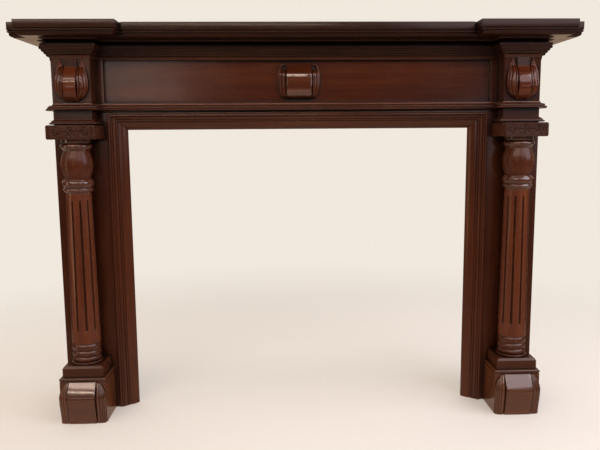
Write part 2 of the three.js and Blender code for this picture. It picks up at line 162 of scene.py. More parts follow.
def grain_noise(graph, position, along, across, axis, seed, detail=4):
    """Noise stretched along the grain. along and across are cycles in a metre."""
    scale = [across, across, across]
    scale["XYZ".index(axis)] = along
    mapping = graph.add(
        "ShaderNodeMapping",
        {"Vector": position, "Location": (seed * 1.7, seed * 2.3, seed * 3.1), "Scale": scale},
    )
    noise = graph.add(
        "ShaderNodeTexNoise",
        {"Vector": mapping.outputs[0], "Scale": 1.0, "Detail": detail, "Roughness": 0.55},
    )
    return noise.outputs["Fac"]


def mahogany(name, axis, seed, tone, gloss=1.0, smooth=1.0, tint=(1, 1, 1), recess_reach=RECESS_REACH):
    """Polished mahogany with its grain along the axis, with painted shade in its corners and recesses, and
    worn lighter on its edges.

    tone scales how light the wood is, gloss how much it reflects and smooth how sharp its reflections are.
    """
    material = bpy.data.materials.new(name)
    material.use_nodes = True
    graph = Graph(material)
    position = graph.add("ShaderNodeTexCoord").outputs["Object"]

    figure = grain_noise(graph, position, 2.2, 26, axis, seed)
    streaks = grain_noise(graph, position, 7, 210, axis, seed + 5, detail=6)
    pores = grain_noise(graph, position, 45, 1500, axis, seed + 9, detail=2)

    def shade(colour, by):
        return tuple(c * by * t for c, t in zip(colour[:3], tint)) + (1,)

    figured = graph.ramp(
        figure,
        (0.26, shade(MAHOGANY_DARK, tone * 1.7)),
        (0.78, shade(MAHOGANY_LIGHT, tone * 0.66)),
        (0.52, shade(MAHOGANY_MID, tone)),
    )
    streak_shade = graph.ramp(streaks, (0.34, grey(0.72)), (0.66, grey(1.2)))
    streaked = graph.mix(0.55, figured, streak_shade, "MULTIPLY")
    pore_shade = graph.ramp(pores, (0.36, grey(0.6)), (0.46, grey(1.0)))
    pored = graph.mix(0.6, streaked, pore_shade, "MULTIPLY")

    # Painted shade: the wood is darkened near other surfaces and in corners, and more so in recesses and
    # grooves.
    corner = graph.add("ShaderNodeAmbientOcclusion", {"Distance": CORNER_REACH}, samples=10)
    corner_shade = graph.ramp(corner.outputs["AO"], (0.22, grey(0.22)), (0.78, grey(1.0)))
    cornered = graph.mix(1.0, pored, corner_shade, "MULTIPLY")
    recess = graph.add("ShaderNodeAmbientOcclusion", {"Distance": recess_reach}, samples=6)
    recess_shade = graph.ramp(recess.outputs["AO"], (0.30, grey(0.12)), (0.85, grey(1.0)))
    wood_with_painted_shade = graph.mix(1.0, cornered, recess_shade, "MULTIPLY")
    edge = graph.add("ShaderNodeAmbientOcclusion", {"Distance": WEAR_REACH}, samples=6, inside=True)
    worn_share = graph.ramp(edge.outputs["AO"], (0.28, grey(0.45)), (0.70, grey(0.0)))
    worn = graph.mix(worn_share, wood_with_painted_shade, shade(MAHOGANY_LIGHT, 1.15 * tone))

    smears = graph.add("ShaderNodeTexNoise", {"Vector": position, "Scale": 9.0, "Detail": 5.0})
    least, most = 0.16 / smooth, 0.27 / smooth
    polish = graph.add(
        "ShaderNodeMapRange",
        {"Value": smears.outputs["Fac"], "From Min": 0.3, "From Max": 0.7, "To Min": least, "To Max": most},
    )
    open_share = graph.ramp(recess.outputs["AO"], (0.30, grey(0)), (0.85, grey(1)))
    roughness = graph.add(
        "ShaderNodeMapRange",
        {"Value": open_share, "To Min": 0.6, "To Max": polish.outputs[0]},
    )
    coat = graph.add("ShaderNodeMapRange", {"Value": open_share, "To Max": 0.35 * gloss})
    ripple = graph.add("ShaderNodeTexNoise", {"Vector": position, "Scale": 55.0, "Detail": 3.0})
    hollow = graph.add(
        "ShaderNodeBump",
        {"Height": ripple.outputs["Fac"], "Strength": 0.10 / smooth ** 2, "Distance": 0.0012},
    )
    pits = graph.add(
        "ShaderNodeBump", {"Height": pores, "Strength": 0.10, "Distance": 0.0003, "Normal": hollow.outputs[0]}
    )
    shader = graph.add(
        "ShaderNodeBsdfPrincipled",
        {
            "Base Color": worn,
            "Roughness": roughness.outputs[0],
            "IOR": 1.48,
            "Specular IOR Level": 0.5 * gloss,
            "Coat Weight": coat.outputs[0],
            "Coat Roughness": 0.14 / smooth,
            "Coat IOR": 1.5,
            "Normal": pits.outputs[0],
            "Coat Normal": hollow.outputs[0],
        },
    )
    graph.add("ShaderNodeOutputMaterial", {"Surface": shader.outputs[0]})
    return material


# Shapes

def bowed(start, end, bow, steps):
    """Points from start to end, bowed sideways by a rounded amount: positive swells, negative hollows."""
    (u0, v0), (u1, v1) = start, end
    length = math.hypot(u1 - u0, v1 - v0)
    side = ((v0 - v1) / length, (u1 - u0) / length)
    points = []
    for i in range(steps + 1):
        t = i / steps
        out = bow * math.sin(math.pi * t)
        points.append((u0 + (u1 - u0) * t + side[0] * out, v0 + (v1 - v0) * t + side[1] * out))
    return points


def reeds(start, end, count, bow, steps):
    """A row of small reeds that steps from one profile point to another."""
    points = []
    for i in range(count):
        a = [start[k] + (end[k] - start[k]) * i / count for k in (0, 1)]
        b = [start[k] + (end[k] - start[k]) * (i + 1) / count for k in (0, 1)]
        points += bowed(a, b, bow, steps)[:-1]
    return points


def offset_path(path, distance):
    """Moves a square-cornered path outwards, with mitred corners."""
    normals = []
    for (x0, f0), (x1, f1) in zip(path, path[1:]):
        normals.append((-np.sign(f1 - f0), 0) if x0 == x1 else (0, np.sign(x1 - x0)))
    moved = []
    for i, (x, f) in enumerate(path):
        before = normals[i - 1] if i else (0, 0)
        after = normals[i] if i < len(normals) else (0, 0)
        moved.append((x + distance * (before[0] + after[0]), f + distance * (before[1] + after[1])))
    return moved


def mirrored(path):
    """A path across the left half, carried on over its mirror image."""
    return path + [(-x, f) for x, f in reversed(path)]


def ring_faces(rings, count):
    """Quads between rings of count points, and a cap at each end."""
    faces = []
    for r in range(rings - 1):
        for i in range(count):
            j = (i + 1) % count
            faces.append((r * count + i, r * count + j, (r + 1) * count + j, (r + 1) * count + i))
    faces.append(tuple(range(count - 1, -1, -1)))
    faces.append(tuple((rings - 1) * count + i for i in range(count)))
    return faces


def to_frame(points):
    """Turns (x, forward, z) points in millimetres into the frame's own places in metres."""
    points = np.array(points, float).reshape(-1, 3)
    return np.column_stack([points[:, 0], WALL_Y - points[:, 1], points[:, 2]]) * MM


def piece(name, rings, material, *nodes, bevel=0.0):
    """A closed piece from rings of (x, forward, z) points, which stands for the named nodes."""
    faces = ring_faces(len(rings), len(rings[0]))
    return mesh_piece(name, to_frame(rings), faces, material, *nodes, bevel=bevel)


def mesh_piece(name, points, faces, material, *nodes, crease=32, bevel=0.0):
    """A piece from points in metres. Edges that turn by more than crease degrees stay sharp."""
    mesh = bpy.data.meshes.new(name)
    mesh.from_pydata([tuple(p) for p in points], [], faces)
    shaped = bmesh.new()
    shaped.from_mesh(mesh)
    bmesh.ops.recalc_face_normals(shaped, faces=shaped.faces)
    shaped.to_mesh(mesh)
    shaped.free()
    mesh.shade_smooth()
    mesh.set_sharp_from_angle(angle=math.radians(crease))
    mesh.materials.append(material)
    made = bpy.data.objects.new(name, mesh)
    bpy.context.scene.collection.objects.link(made)
    if bevel:
        soften(made, bevel)
    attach(made, "root")
    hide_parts(*nodes)
    return made


def add_finishes(made, finishes):
    """Gives a piece its further finishes. It already has the first."""
    for other in finishes[1:]:
        made.data.materials.append(other)


def soften(made, width):
    """Rounds the hard edges slightly, as sanding and polish do."""
    rounding = made.modifiers.new("soft_edges", "BEVEL")
    rounding.width = width * MM
    rounding.segments = 2
    rounding.limit_method = "ANGLE"
    rounding.angle_limit = math.radians(40)


def moulding_run(name, path, section, material, node):
    """A moulding of one section, (offset from the path, height), mitred along a plan path."""
    lines = [offset_path(path, offset) for offset, _ in section]
    rings = [
        [(lines[i][corner][0], lines[i][corner][1], z) for i, (_, z) in enumerate(section)]
        for corner in range(len(path))
    ]
    return piece(name, rings, material, node)


FRIEZE_PATH = mirrored([
    (-BOARD_HALF, 0),
    (-BOARD_HALF, BOARD_FACE),
    (-COLUMN_X - BLOCK_HALF, BOARD_FACE),
    (-COLUMN_X - BLOCK_HALF, BLOCK_FACE),
    (-COLUMN_X + BLOCK_HALF, BLOCK_FACE),
    (-COLUMN_X + BLOCK_HALF, BOARD_FACE),
])


def make_shelf(material):
    path = mirrored([
        (-HALF_WIDTH, 0),
        (-HALF_WIDTH, SHELF_EAR_FACE),
        (-SHELF_BLOCK_OUT, SHELF_EAR_FACE),
        (-SHELF_BLOCK_OUT, DEPTH),
        (-SHELF_BLOCK_IN, DEPTH),
        (-SHELF_BLOCK_IN, SHELF_EAR_FACE - NOTCH),
        (-SHELF_BLOCK_IN + NOTCH, SHELF_EAR_FACE - NOTCH),
        (-SHELF_BLOCK_IN + NOTCH, SHELF_EAR_FACE),
    ])
    foot = HEIGHT - SHELF_FACE_TALL
    edge = [
        *bowed((-1.2, HEIGHT), (0, HEIGHT - 1.2), 0.3, 3),
        (0, foot),
        (-2.4, foot - 0.8),
        *bowed((-2.4, foot - 1.4), (-3.2, foot - 7.6), 2.6, 8),
        (-5, foot - 8.2),
        (-5, foot - 9.2),
        *bowed((-4.4, foot - 9.6), (-12, SHELF_BOTTOM + 1.4), 2.6, 8),
        (-13.5, SHELF_BOTTOM + 0.8),
        (-13.5, SHELF_BOTTOM),
    ]
    outlines = [offset_path(path, offset) for offset, _ in edge]
    rings = [[(x, f, z) for x, f in outline] for outline, (_, z) in zip(outlines, edge)]
    return piece("mantel_shelf_polished", rings, material, "mantel_shelf", bevel=0.5)


def make_bed_moulding(material):
    top = high("bed_moulding").z
    bottom = low("bed_moulding").z
    section = [
        (GAP, top),
        (27, top),
        *bowed((26, top - 1.5), (10, top - 13), -3.2, 10),
        (10, top - 14.5),
        (24.5, top - 15),
        (24.5, top - 18.6),
        *reeds((25, top - 18.8), (4, top - 46), 4, 2.4, 10),
        (4, top - 46),
        *bowed((2.6, top - 47), (1.5, bottom + 1), -0.5, 4),
        (1.5, bottom),
        (GAP, bottom),
    ]
    return moulding_run("bed_moulding_reeded", FRIEZE_PATH, section, material, "bed_moulding")


def make_frieze_base_moulding(material):
    foot = low("frieze_base_moulding").z
    top = high("frieze_base_moulding").z
    section = [
        (GAP, top),
        (1.8, top),
        *bowed((1.8, top - 1), (8.4, foot + 13.6), -1.6, 8),
        *bowed((9.4, foot + 13), (12.6, foot + 7), 2.2, 8),
        (13.2, foot + 6),
        *bowed((15.2, foot + 5.8), (15.6, foot + 0.6), 2.6, 8),
        (14, foot),
        (GAP, foot),
    ]
    return moulding_run("frieze_base_moulding_run", FRIEZE_PATH, section, material, "frieze_base_moulding")


def make_neck_moulding(word, side, material):
    node = f"neck_moulding_{word}"
    foot = low(node).z
    top = high(node).z
    x = side * COLUMN_X
    path = [
        (x - BLOCK_HALF, BOARD_FACE + GAP),
        (x - BLOCK_HALF, BLOCK_FACE),
        (x + BLOCK_HALF, BLOCK_FACE),
        (x + BLOCK_HALF, BOARD_FACE + GAP),
    ]
    section = [
        (GAP, top),
        (1.8, top),
        *bowed((1.8, top - 1), (10.5, foot + 5.6), 1.4, 8),
        (11.5, foot + 5),
        *bowed((12.4, foot + 4.8), (12.4, foot + 0.6), 2.1, 8),
        (11, foot),
        (GAP, foot),
    ]
    return moulding_run(f"{node}_run", path, section, material, node)


# The order of a column's finishes
SHAFT, RINGS, BULB, BASE = range(4)


def flute_cut(reach, deep):
    """How deep a flute cuts at a share of its half width: the arc of a circle, up to its rim."""
    if reach >= 1:
        return 0
    rim, rim_height = 0.893, 0.45
    return deep * (math.sqrt(1 - (rim * reach) ** 2) - rim_height) / (1 - rim_height)


def make_column(word, side, finishes):
    """A turned column: the profile's rings, with round-ended flutes cut along the shaft."""
    node = f"column_{word}"
    foot = low(node).z
    head = high(node).z
    shaft_foot, shaft_head = (44.2, 244), (38.2, 714)
    flute_foot, flute_head = 281, 697
    flute_half = math.radians(4.6)
    flute_deep, flute_end = 4.6, 11
    bulb_foot, bulb_head = 759, 846

    base = [
        (46, foot),
        *bowed((47, 179.2), (46, 184.6), -1.8, 6),
        (41, 185.4),
        *bowed((41.6, 186.6), (41.4, 200.4), -3.0, 10),
        (40.6, 201.4),
        *bowed((41.6, 202.6), (41.4, 219.6), -3.2, 10),
        (40.6, 220.6),
        *bowed((41.6, 221.8), (41.4, 241.2), -3.3, 10),
        (41.6, 242.4),
    ]
    foot_step, head_step = 1.1, 0.9
    near_foot = [flute_foot - 1 + i * foot_step for i in range(12)]
    near_head = [flute_head + 1 - i * head_step for i in range(8, -1, -1)]
    between = list(np.linspace(near_foot[-1], near_head[0], 34)[1:-1])
    levels = [shaft_foot[1], 262, *near_foot, *between, *near_head, 705, shaft_head[1]]
    slope = (shaft_head[0] - shaft_foot[0]) / (shaft_head[1] - shaft_foot[1])
    shaft = [(shaft_foot[0] + slope * (z - shaft_foot[1]), z) for z in levels]
    top = [
        (40, 719),
        *bowed((43.4, 721), (43.4, 731), -2.2, 8),
        (42, 733),
        *bowed((44.4, 735), (42, 758), -4.6, 12),
        (39.2, 760.5),
        *bowed((39.4, 763), (38.6, 844), -8.6, 24),
        *bowed((41.5, 848), (42.5, 868), -6, 12),
        (43.6, 870),
        (43.6, head),
    ]

    # Places across a flute and then across the land beside it, in half widths of a flute
    across = [i / 4 for i in range(-4, 5)]
    land = (math.pi / FLUTES - flute_half) / flute_half
    share = [*across, 1 + land * 0.33, 1 + land * 0.67, 1 + land, 1 + land * 1.33, 1 + land * 1.67]
    turn = math.radians(FLUTE_TURN[word]) - math.pi / 2
    rings = []
    for radius, z in [*base, *shaft, *top]:
        beyond = max(0, flute_foot + flute_end - z, z - (flute_head - flute_end)) / flute_end
        ring = []
        for flute in range(FLUTES):
            for u in share:
                angle = turn + flute * 2 * math.pi / FLUTES + u * flute_half
                r = radius - flute_cut(math.hypot(u, beyond), flute_deep)
                ring.append((side * COLUMN_X + r * math.cos(angle), COLUMN_FORWARD - r * math.sin(angle), z))
        rings.append(ring)
    made = piece(f"{node}_turned", rings, finishes[SHAFT], node)
    add_finishes(made, finishes)
    for face in made.data.polygons:
        z = face.center.z / MM
        if bulb_foot < z < bulb_head:
            face.material_index = BULB
        elif z > shaft_head[1] + 2:
            face.material_index = RINGS
        elif z < shaft_foot[1] - 1:
            face.material_index = BASE
    return made


# Carving

def stroke_depth(x, z, line, width, depth):
    """How deep a rounded groove along a line of (x, z) points cuts at each place."""
    nearest = np.full(x.shape, 1e9)
    for (x0, z0), (x1, z1) in zip(line, line[1:]):
        dx, dz = x1 - x0, z1 - z0
        t = np.clip(((x - x0) * dx + (z - z0) * dz) / (dx * dx + dz * dz), 0, 1)
        nearest = np.minimum(nearest, np.hypot(x - x0 - t * dx, z - z0 - t * dz))
    return depth * np.clip(1 - (nearest / (width / 2)) ** 2, 0, 1)


def capital_carving(x, z):
    """How deep a capital's face is carved, at places measured from its middle.

    The carving is a volute, a stem and a leaf at each side, and a ring on a stalk between them.
    """
    volute_out, volute_down = 44, 1
    outer, inner, turns, steps = 14.5, 3.2, 1.8, 60
    ring_radius, ring_up = 4.8, 9
    depth = np.zeros(x.shape)
    for sense in (-1, 1):
        volute = []
        for i in range(steps + 1):
            t = i / steps
            angle = math.pi / 2 + 2 * math.pi * turns * t
            radius = outer + (inner - outer) * t ** 0.8
            out = volute_out + radius * math.cos(angle)
            volute.append((sense * out, radius * math.sin(angle) - volute_down))
        depth = np.maximum(depth, stroke_depth(x, z, volute, 4.6, 1.7))
        stem = bowed((sense * 7, -3), (sense * 25, 1), sense * 3, 8)
        depth = np.maximum(depth, stroke_depth(x, z, stem, 5, 1.9))
        leaf = bowed((sense * 3, 0), (sense * 11, -11), -sense * 2, 6)
        depth = np.maximum(depth, stroke_depth(x, z, leaf, 4, 1.5))
    ring = [
        (ring_radius * math.sin(a), ring_up + ring_radius * math.cos(a))
        for a in np.linspace(0, 2 * math.pi, 25)
    ]
    depth = np.maximum(depth, stroke_depth(x, z, ring, 3.2, 1.5))
    stalk = [(0, 1), (0, -11)]
    return np.maximum(depth, stroke_depth(x, z, stalk, 3.6, 1.6))


def make_capital(word, side, material):
    node = f"capital_{word}"
    foot, head = low(node).z, high(node).z
    centre = side * COLUMN_X
    half, face, back = high(node).x - centre, high(node).y, BOARD_FACE + GAP
    corner, round_plan = 5, 13
    middle = (foot + head) / 2
    near_foot = foot + corner * np.linspace(0, 1, 7) ** 2
    between = np.linspace(foot + corner, head - corner, 46)[1:-1]
    near_head = head - corner * np.linspace(1, 0, 7) ** 2
    rings = []
    for z in np.concatenate([near_foot, between, near_head]):
        near_end = max(0, corner - min(z - foot, head - z))
        inset = corner - math.sqrt(max(0, corner ** 2 - near_end ** 2))
        out = half - inset
        sweep = [
            (out - round_plan + round_plan * math.sin(a), face - round_plan + round_plan * math.cos(a))
            for a in np.linspace(0, math.pi / 2, 9)[1:]
        ]
        flat = np.linspace(-(out - round_plan), out - round_plan, 140)
        cut = capital_carving(flat, np.full(flat.shape, z - middle))
        ring = [(centre - out, back, z), *[(centre - x, f, z) for x, f in reversed(sweep)]]
        ring += [(centre + x, face - c, z) for x, c in zip(flat, cut)]
        ring += [*[(centre + x, f, z) for x, f in sweep], (centre + out, back, z)]
        rings.append(ring)
    return piece(f"{node}_carved", rings, material, node)


def through(pairs, t):
    """A smooth curve through (position, value) pairs in rising order, flat past its ends."""
    at = [p for p, _ in pairs]
    value = [v for _, v in pairs]
    slope = np.gradient(value, at)
    t = min(max(t, at[0]), at[-1])
    i = min(max(int(np.searchsorted(at, t)) - 1, 0), len(at) - 2)
    span = at[i + 1] - at[i]
    s = (t - at[i]) / span
    return (
        value[i] * (1 + 2 * s) * (1 - s) ** 2
        + value[i + 1] * s * s * (3 - 2 * s)
        + span * s * (1 - s) * (slope[i] * (1 - s) - slope[i + 1] * s)
    )


# The order of a carving's finishes
BAND, SIDES, TAB = range(3)


class Carving:
    """Gathers closed shells of (x, forward, z) points into one carved piece."""

    def __init__(self):
        self.points = []
        self.faces = []
        self.finishes = []

    def shell(self, rings, finish):
        """Adds one closed shell from its rings."""
        start = len(self.points)
        count = len(rings[0])
        for ring in rings:
            self.points += [tuple(p) for p in ring]
        faces = [tuple(start + i for i in face) for face in ring_faces(len(rings), count)]
        self.faces += faces
        self.finishes += [finish] * len(faces)

    def reed(self, line, radii, sides=14):
        """A rounded rod along a line of points, with a radius at each."""
        line = np.array(line, float)
        along = np.gradient(line, axis=0)
        along /= np.linalg.norm(along, axis=1)[:, None]
        side = np.cross(along[0], (0, 1, 0))
        rings = []
        for point, heading, radius in zip(line, along, radii):
            side = side - heading * np.dot(side, heading)
            side /= np.linalg.norm(side)
            other = np.cross(heading, side)
            rings.append([
                point + radius * (math.cos(a) * side + math.sin(a) * other)
                for a in np.linspace(0, 2 * math.pi, sides, endpoint=False)
            ])
        self.shell(rings, finish=SIDES)

    def finish(self, name, finishes, *nodes):
        """Makes the gathered shells into one piece, which stands for the named nodes."""
        made = mesh_piece(name, to_frame(self.points), self.faces, finishes[BAND], *nodes, crease=38)
        add_finishes(made, finishes)
        made.data.polygons.foreach_set("material_index", self.finishes)
        return made


def band(carving, centre, face, half, levels, forward, round_edge=2.2, crown=0.6, finish=BAND):
    """A scroll's middle band: a broad strip with rounded edges that follows forward(z)."""
    least_rise = 1.0
    rings = []
    for z in levels:
        rise = max(forward(z) - face, least_rise)
        round_now = min(round_edge, rise / 2)
        arc = [
            (half - round_now + round_now * math.sin(a), rise - round_now + round_now * math.cos(a))
            for a in np.linspace(0, math.pi / 2, 6)
        ]
        across = np.linspace(-half + round_now, half - round_now, 9)
        top = [(x, rise + crown * (1 - (x / half) ** 2)) for x in across]
        ring = [(-half, GAP), *[(-x, f) for x, f in reversed(arc)], *top[1:-1], *arc, (half, GAP)]
        rings.append([(centre + x, face + f, z) for x, f in ring])
    carving.shell(rings, finish)


def taper(count, radius, start, end):
    """Radii along a reed: full in the middle, and a share of it at the two ends."""
    fade = 0.10
    radii = []
    for i in range(count):
        t = i / (count - 1)
        share = start + (1 - start) * math.sin(min(t / fade, 1) * math.pi / 2)
        share *= end + (1 - end) * math.sin(min((1 - t) / fade, 1) * math.pi / 2)
        radii.append(radius * share)
    return radii


def flank(carving, centre, sense, face, levels, near, far, rise, ridges, plump, groove=2.6, square=2.3):
    """One side of a scroll: a domed pad from near the band out to its edge, carved into rounded ridges.

    ridges are the shares of the quarter turn where a groove runs. plump is how far a ridge swells beyond
    the dome, groove is how deep a groove cuts, and square is the power of the dome's superellipse.
    """
    least_wide, least_tall = 0.6, 0.8
    full_wide, full_tall = 20, 8
    roundness = 0.45
    rings = []
    for z in levels:
        start, wide, tall = near(z), max(far(z) - near(z), least_wide), max(rise(z), least_tall)
        size = min(1, wide / full_wide, tall / full_tall)
        ring = [(start, GAP)]
        for a, b in zip(ridges, ridges[1:]):
            for q in np.linspace(0, 1, 12):
                turn = (a + (b - a) * q) * math.pi / 2
                swell = (plump + groove) * max(0.0, math.sin(math.pi * q)) ** roundness
                out = size * (swell - groove)
                side, ahead = tall * math.sin(turn), wide * math.cos(turn)
                out /= math.hypot(side, ahead)
                x = start + wide * math.sin(turn) ** (2 / square) + out * side
                f = GAP + tall * max(0.0, math.cos(turn)) ** (2 / square) + out * ahead
                ring.append((max(x, start), max(f, GAP)))
        ring.append((start + wide, GAP))
        rings.append([(centre + sense * x, face + f, z) for x, f in ring])
    carving.shell(rings, finish=SIDES)


def curve_from(foot, pairs):
    """A function of height from (height above foot, value) pairs."""
    return lambda z: through(pairs, z - foot)


def make_frieze_scroll(word, side, finishes):
    """An egg-shaped scroll on a frieze block: a rolled band between ridged, horned flanks, under a tab."""
    node = f"frieze_scroll_{word}"
    centre = side * COLUMN_X
    foot, head = low(node).z, high(node).z
    half_band = 18.6
    forward = curve_from(foot, [
        (0, 201), (3, 207), (8, 214), (16, 221), (26, 225.6), (38, 227.8), (50, 227.6), (60, 226),
        (68, 223.8), (76, 220.6), (84, 216), (92, 210), (100, 202.4), (107, 194.5),
    ])
    near = curve_from(foot, [
        (0, 12), (10, 18.6), (20, 19.8), (92, 19.8), (100, 21), (107, 24.5), (114, 28), (125, 31),
    ])
    far = curve_from(foot, [
        (0, 18), (6, 27), (13, 36), (25, 44), (40, 48.8), (52, 50), (66, 49), (80, 46.3), (94, 42.5),
        (104, 39.5), (114, 36), (125, 32),
    ])
    band_tall, tab_foot = 105, 96
    tab_face = curve_from(foot, [(tab_foot, 203), (130, 199)])
    flank_levels = np.linspace(foot + 1.5, head - 2, 80)
    flank_share, least_rise = 0.82, 4
    ridges = (0, 0.14, 0.44, 0.72, 1)

    def rise(z):
        return math.hypot(max(forward(z) - BLOCK_FACE, 0) * flank_share, least_rise)

    carving = Carving()
    band(carving, centre, BLOCK_FACE, half_band, np.linspace(foot, foot + band_tall, 84), forward)
    tab = [foot + tab_foot, head]
    band(carving, centre, BLOCK_FACE, half_band, tab, tab_face, round_edge=0.6, crown=0, finish=TAB)
    for sense in (-1, 1):
        flank(carving, centre, sense, BLOCK_FACE, flank_levels, near, far, rise, ridges, plump=0.8)
    return carving.finish(f"{node}_carved", finishes, node)


def make_centre_scroll(finishes):
    """The tablet in the middle of the frieze: a rolled band between ridged sides, each under a small arch."""
    node = "frieze_scroll_centre"
    face = low(node).y - GAP
    foot, head = low(node).z, high(node).z
    half_band = 39
    forward = curve_from(foot, [
        (0, 127), (3, 134), (8, 140), (16, 145), (28, 148.4), (42, 149.8), (58, 149.9), (69.5, 149.2),
        (76.5, 147.2), (82, 143.6), (88, 138), (96, 131.5), (104, 127), (109, 124.6),
    ])
    near = curve_from(foot, [(0, 41), (120, 41)])
    far = curve_from(foot, [(0, 50), (5, 55), (15, 60), (35, 64.5), (60, 66), (80, 64.5), (95, 61)])
    hollow_foot, closing_tall = foot + 78, 12
    flank_levels = np.linspace(foot + 3, hollow_foot + closing_tall, 70)
    flank_share = 0.72
    ridges = (0, 0.34, 0.66, 1)
    arch_foot, arch_spring, arch_face = foot + 60, foot + 94, face + 6.5
    arch_inset, arch_radius = 3.4, 11
    arch_turn, arch_steps = math.pi * 0.62, 14

    def rise(z):
        closed = max(0, z - hollow_foot) / closing_tall
        return (forward(z) - face) * flank_share * math.sqrt(max(0.0, 1 - closed ** 2))

    carving = Carving()
    band(carving, 0, face, half_band, np.linspace(foot, head, 80), forward)
    for sense in (-1, 1):
        flank(carving, 0, sense, face, flank_levels, near, far, rise, ridges, plump=0.6)
        upright = np.linspace(arch_foot, arch_spring, 18)
        arch = [(sense * (far(z) - arch_inset), arch_face, z) for z in upright]
        turn_x = far(arch_spring) - arch_inset - arch_radius
        for i in range(1, arch_steps + 1):
            angle = arch_turn * i / arch_steps
            x = turn_x + arch_radius * math.cos(angle)
            arch.append((sense * x, arch_face, arch_spring + arch_radius * math.sin(angle)))
        carving.reed(arch, taper(len(arch), radius=2.6, start=0.5, end=0.6))
    return carving.finish(f"{node}_carved", finishes, node)


def make_plinth_scroll(word, side, finishes):
    """The scroll on a plinth's front: down from its top the band slopes out to a crease, then falls back."""
    node = f"plinth_scroll_{word}"
    centre = side * COLUMN_X
    face = low(node).y - GAP
    head = high(node).z
    half_band = 42
    forward = curve_from(0, [
        (0, 262), (25, 268), (50, 273.8), (70, 277.8), (80, 279.2), (85, 279.4), (89, 278.6), (94, 276.4),
        (101, 272.8), (107, 269.4), (113, 265.7), (119, 261.8), (125, 257.7), (head, 253.9),
    ])
    near = curve_from(0, [(0, 42.9), (head, 42.9)])
    far = curve_from(0, [
        (0, 68), (40, 70), (75, 71.4), (92, 70.6), (103, 67), (112, 62.6), (121, 57.4), (128, 53), (head, 50),
    ])
    crease_foot, crease_head = 78, 98
    levels = np.concatenate([
        np.linspace(0, crease_foot, 30),
        np.linspace(crease_foot, crease_head, 24)[1:],
        np.linspace(crease_head, head, 20)[1:],
    ])
    flank_share = 0.76
    ridges = (0, 0.16, 0.36, 0.58, 0.8, 1)

    def rise(z):
        return (forward(z) - face) * flank_share

    carving = Carving()
    band(carving, centre, face, half_band, levels, forward)
    for sense in (-1, 1):
        flank(
            carving, centre, sense, face, levels[:-1], near, far, rise, ridges,
            plump=0.9, groove=1.6, square=3.2,
        )
    return carving.finish(f"{node}_carved", finishes, node)


# The architrave's section, as (distance out from the opening, forward)
ARCHITRAVE = [
    (0, 90),
    (0, 99.6),
    *bowed((0.4, 100.4), (24.6, 118.2), 2.4, 18),
    (25.4, 116.6),
    *bowed((26, 119.6), (30.6, 123), 1.7, 8),
    (31.3, 121.9),
    *bowed((32, 124.6), (40, 130), 1.5, 8),
    (40.8, 128.9),
    *bowed((41.4, 131.8), (46, 134.6), 1.7, 8),
    (46.7, 133.6),
    *bowed((47.3, 135.4), (53, 136.8), 1.0, 8),
    (54, 135.2),
    (54, 90),
]


def make_architrave(word, side, material):
    """One leg of the architrave, mitred at its head."""
    node = f"architrave_{word}"
    inner = low(node).x if side > 0 else high(node).x
    top = high("architrave_top").z - ARCHITRAVE[-1][0]
    foot = [(inner + side * out, f, 0) for out, f in ARCHITRAVE]
    mitre = [(x, f, top + out - GAP) for (x, f, _), (out, _) in zip(foot, ARCHITRAVE)]
    return piece(f"{node}_reeded", [foot, mitre], material, node)


def make_architrave_top(material):
    node = "architrave_top"
    inner = low("architrave_right").x
    opening = high(node).z - ARCHITRAVE[-1][0]
    ends = [
        [(side * (inner + out - GAP), f, opening + out) for out, f in ARCHITRAVE]
        for side in (-1, 1)
    ]
    return piece(f"{node}_reeded", ends, material, node)


# The stage, lights and camera

def stage_sheet(name, points, faces, material):
    mesh = bpy.data.meshes.new(name)
    mesh.from_pydata(points, [], faces)
    mesh.shade_smooth()
    mesh.materials.append(material)
    sheet = bpy.data.objects.new(name, mesh)
    bpy.context.scene.collection.objects.link(sheet)
    return sheet


def paper_material(glow):
    """Pale paper under the lights, which turns with distance into an even glow."""
    material = bpy.data.materials.new(f"studio_paper_{glow:.2f}".replace(".", "_"))
    material.use_nodes = True
    graph = Graph(material)
    position = graph.add("ShaderNodeTexCoord").outputs["Object"]
    flat = graph.add("ShaderNodeVectorMath", {0: position, 1: (1, 1, 0)}, operation="MULTIPLY")
    away = graph.add("ShaderNodeVectorMath", {0: flat.outputs[0]}, operation="LENGTH").outputs["Value"]
    share = graph.add(
        "ShaderNodeMapRange",
        {"Value": away, "From Min": 0.9, "From Max": 2.6},
        interpolation_type="SMOOTHSTEP",
    ).outputs["Result"]
    paper = graph.add(
        "ShaderNodeBsdfPrincipled",
        {
            "Base Color": (0.78, 0.74, 0.69, 1),
            "Emission Color": (0.90, 0.835, 0.755, 1),
            "Emission Strength": glow,
            "Roughness": 0.9,
            "Specular IOR Level": 0.1,
        },
    )
    even = graph.add("ShaderNodeEmission", {"Color": (0.878, 0.812, 0.728, 1)})
    joined = graph.add("ShaderNodeMixShader", {0: share, 1: paper.outputs[0], 2: even.outputs[0]})
    graph.add("ShaderNodeOutputMaterial", {"Surface": joined.outputs[0]})
    return material


# How strongly each sheet of paper glows near the mantel
STUDIO_GLOW = 0.245
BOUNCE_GLOW = 0.40


def rising_bend(edge, bend, steps):
    """A quarter circle from the floor up to the wall at the edge, as (distance out, height)."""
    turn = np.linspace(0, math.pi / 2, steps)
    return [(edge - bend + bend * math.sin(a), bend - bend * math.cos(a)) for a in turn]


